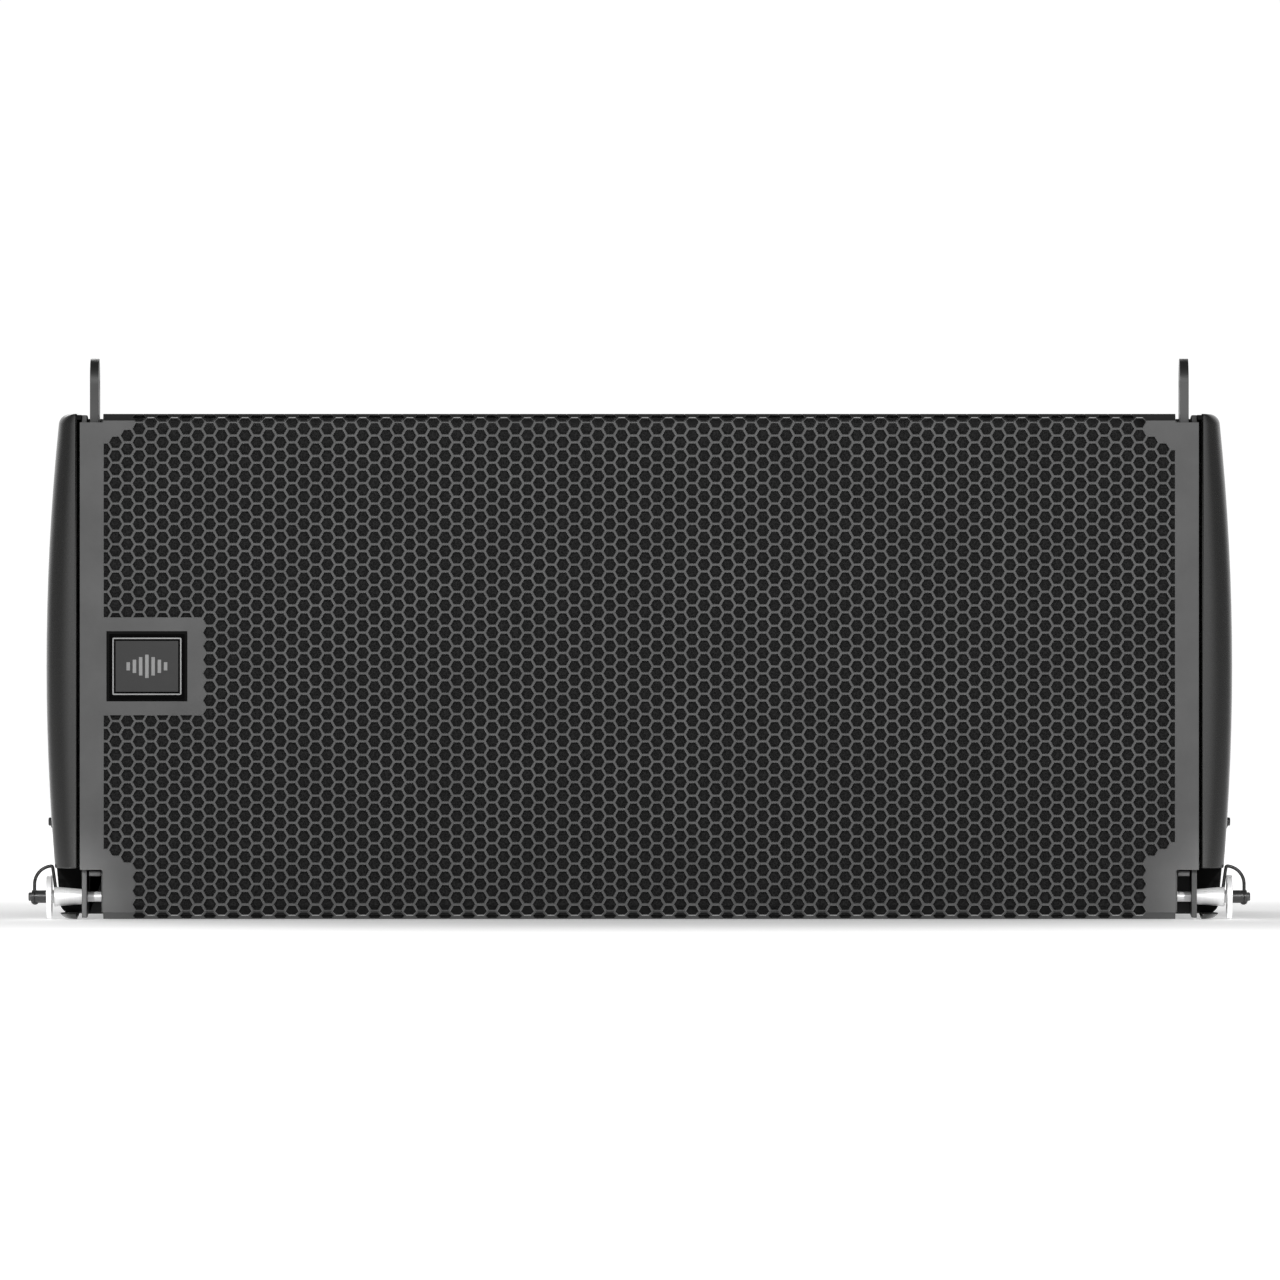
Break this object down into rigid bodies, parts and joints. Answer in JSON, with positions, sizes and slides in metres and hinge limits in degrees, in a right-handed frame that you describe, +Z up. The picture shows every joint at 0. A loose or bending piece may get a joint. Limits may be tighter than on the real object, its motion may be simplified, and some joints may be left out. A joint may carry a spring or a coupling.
{
  "type": "line array speaker",
  "caption": "Powered two-way line array speaker: wedge cabinet with hex-hole grille, bowed side pods, sliding front links, swinging rear arms and quick-release pins.",
  "frame": {"origin": "bottom centre of the box: under the middle of the element, at the height of the front bottom edge", "axes": "+X to the right seen from the front, +Y towards the rear panel, +Z up; the grille faces -Y"},
  "size_m": [0.727, 0.42, 0.3331],
  "materials": {
    "painted_wood": "matt textured paint on birch plywood",
    "grille_steel": "dark grey powder coat, perforated",
    "foam": "open cell acoustic foam",
    "pod_plastic": "fine textured moulded plastic",
    "rail_steel": "dark grey powder coat",
    "link_steel": "dark grey powder coat, worn at the edges",
    "pin_steel": "turned stainless steel",
    "pin_button": "dark turned steel",
    "loop_wire": "black coated wire",
    "black_screws": "black zinc",
    "badge_frame": "semi gloss black",
    "badge_face": "dark grey with light relief bars",
    "driver_frame": "black cast frame",
    "magnet": "sintered ferrite and steel",
    "cone": "coated paper pulp",
    "surround": "impregnated cloth roll",
    "spider": "resin dipped cloth",
    "horn_plastic": "moulded waveguide",
    "driver_metal": "die cast",
    "amp_panel": "black powder coat",
    "heatsink_metal": "black anodised",
    "amp_sheet": "folded sheet",
    "board": "glass fibre board with parts",
    "window": "tinted window",
    "socket": "glass filled plastic",
    "mains_socket": "glass filled plastic, dark blue",
    "knob": "soft touch",
    "switch": "moulded rocker"
  },
  "bodies": {
    "cabinet": {"amplifier_board": "board", "amplifier_box": "amp_sheet", "amplifier_plate": "amp_panel", "amplifier_screws": "black_screws", "badge_bezel": "badge_frame", "badge_plate": "badge_face", "cabinet_bottom_panel": "painted_wood", "cabinet_braces": "painted_wood", "cabinet_left_panel": "painted_wood", "cabinet_rear_panel": "painted_wood", "cabinet_right_panel": "painted_wood", "cabinet_top_panel": "painted_wood", "display_window": "window", "front_baffle": "painted_wood", "grille": "grille_steel", "grille_foam": "foam", "grille_screws": "black_screws", "heatsink": "heatsink_metal", "left_rigging_rail": "rail_steel", "left_side_pod": "pod_plastic", "left_woofer_frame": "driver_frame", "left_woofer_magnet": "magnet", "left_woofer_spider": "spider", "left_woofer_surround": "surround", "lower_compression_driver": "driver_metal", "mains_sockets": "mains_socket", "pod_screws": "black_screws", "rigging_pivot_bolts": "black_screws", "rigging_screws": "black_screws", "right_rigging_rail": "rail_steel", "right_side_pod": "pod_plastic", "right_woofer_frame": "driver_frame", "right_woofer_magnet": "magnet", "right_woofer_spider": "spider", "right_woofer_surround": "surround", "signal_sockets": "socket", "upper_compression_driver": "driver_metal", "waveguide": "horn_plastic", "woofer_screws": "black_screws"},
    "right_woofer_cone": {"right_woofer_cone": "cone"},
    "right_front_link": {"right_front_link": "link_steel"},
    "right_rear_arm": {"right_rear_arm": "link_steel"},
    "right_front_pin": {"right_front_pin": "pin_steel", "right_front_pin_loop": "loop_wire"},
    "right_front_pin_button": {"right_front_pin_button": "pin_button"},
    "right_rear_pin": {"right_rear_pin": "pin_steel", "right_rear_pin_loop": "loop_wire"},
    "right_rear_pin_button": {"right_rear_pin_button": "pin_button"},
    "left_woofer_cone": {"left_woofer_cone": "cone"},
    "left_front_link": {"left_front_link": "link_steel"},
    "left_rear_arm": {"left_rear_arm": "link_steel"},
    "left_front_pin": {"left_front_pin": "pin_steel", "left_front_pin_loop": "loop_wire"},
    "left_front_pin_button": {"left_front_pin_button": "pin_button"},
    "left_rear_pin": {"left_rear_pin": "pin_steel", "left_rear_pin_loop": "loop_wire"},
    "left_rear_pin_button": {"left_rear_pin_button": "pin_button"},
    "encoder_knob": {"encoder_knob": "knob"},
    "menu_button": {"menu_button": "knob"},
    "power_switch": {"power_switch": "switch"}
  },
  "joints": [
    {"name": "right_woofer_travel", "type": "slide", "parent": "cabinet", "child": "right_woofer_cone", "axis": [0, -1, 0], "range_m": [-0.005, 0.005], "stiffness_N_per_m": 3000, "deforming": ["right_woofer_surround", "right_woofer_spider"]},
    {"name": "right_link_slide", "type": "slide", "parent": "cabinet", "child": "right_front_link", "axis": [0, 0, 1], "range_m": [-0.033, 0]},
    {"name": "right_arm_swing", "type": "hinge", "parent": "cabinet", "child": "right_rear_arm", "pos_m": [0.3239, 0.172, 0.215], "axis": [1, 0, 0], "range_deg": [0, 180]},
    {"name": "right_front_pin_pull", "type": "slide", "parent": "cabinet", "child": "right_front_pin", "axis": [1, 0, 0], "range_m": [0, 0.024]},
    {"name": "right_front_pin_release", "type": "slide", "parent": "right_front_pin", "child": "right_front_pin_button", "axis": [-1, 0, 0], "range_m": [0, 0.002], "stiffness_N_per_m": 600},
    {"name": "right_rear_pin_pull", "type": "slide", "parent": "cabinet", "child": "right_rear_pin", "axis": [1, 0, 0], "range_m": [0, 0.024]},
    {"name": "right_rear_pin_release", "type": "slide", "parent": "right_rear_pin", "child": "right_rear_pin_button", "axis": [-1, 0, 0], "range_m": [0, 0.002], "stiffness_N_per_m": 600},
    {"name": "left_woofer_travel", "type": "slide", "parent": "cabinet", "child": "left_woofer_cone", "axis": [0, -1, 0], "range_m": [-0.005, 0.005], "stiffness_N_per_m": 3000, "deforming": ["left_woofer_surround", "left_woofer_spider"]},
    {"name": "left_link_slide", "type": "slide", "parent": "cabinet", "child": "left_front_link", "axis": [0, 0, 1], "range_m": [-0.033, 0]},
    {"name": "left_arm_swing", "type": "hinge", "parent": "cabinet", "child": "left_rear_arm", "pos_m": [-0.3239, 0.172, 0.215], "axis": [1, 0, 0], "range_deg": [0, 180]},
    {"name": "left_front_pin_pull", "type": "slide", "parent": "cabinet", "child": "left_front_pin", "axis": [-1, 0, 0], "range_m": [0, 0.024]},
    {"name": "left_front_pin_release", "type": "slide", "parent": "left_front_pin", "child": "left_front_pin_button", "axis": [1, 0, 0], "range_m": [0, 0.002], "stiffness_N_per_m": 600},
    {"name": "left_rear_pin_pull", "type": "slide", "parent": "cabinet", "child": "left_rear_pin", "axis": [-1, 0, 0], "range_m": [0, 0.024]},
    {"name": "left_rear_pin_release", "type": "slide", "parent": "left_rear_pin", "child": "left_rear_pin_button", "axis": [1, 0, 0], "range_m": [0, 0.002], "stiffness_N_per_m": 600},
    {"name": "knob_turn", "type": "hinge", "parent": "cabinet", "child": "encoder_knob", "pos_m": [0.13, 0.2, 0.196], "axis": [0, 1, 0], "continuous": true},
    {"name": "menu_press", "type": "slide", "parent": "cabinet", "child": "menu_button", "axis": [0, -1, 0], "range_m": [0, 0.0015], "stiffness_N_per_m": 500},
    {"name": "power_rock", "type": "hinge", "parent": "cabinet", "child": "power_switch", "pos_m": [0.136, 0.189, 0.092], "axis": [1, 0, 0], "range_deg": [0, 14]}
  ]
}
